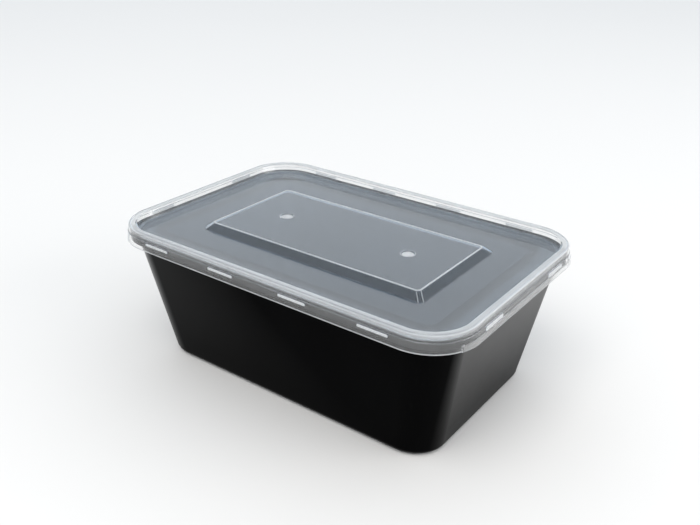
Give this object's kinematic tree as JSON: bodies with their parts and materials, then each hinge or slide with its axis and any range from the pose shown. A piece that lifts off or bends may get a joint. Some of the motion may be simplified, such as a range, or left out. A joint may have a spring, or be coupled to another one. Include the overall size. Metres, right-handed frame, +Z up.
{
  "type": "rectangular takeaway food container",
  "caption": "Tapered rectangular food tub in black plastic, closed by a clear press-fit lid with a raised bead, a sunk panel and a raised middle field.",
  "frame": {"origin": "middle of the footprint, on the surface that the tub stands on", "axes": "+X along the long sides, towards the short side with the pull lip; +Y across; +Z up"},
  "size_m": [0.1753, 0.1182, 0.0652],
  "materials": {
    "tub": "satin moulded polypropylene, near black",
    "lid": "clear, slightly milky moulded polypropylene"
  },
  "bodies": {
    "root": {"tub": "tub", "lid": "lid"}
  },
  "joints": []
}
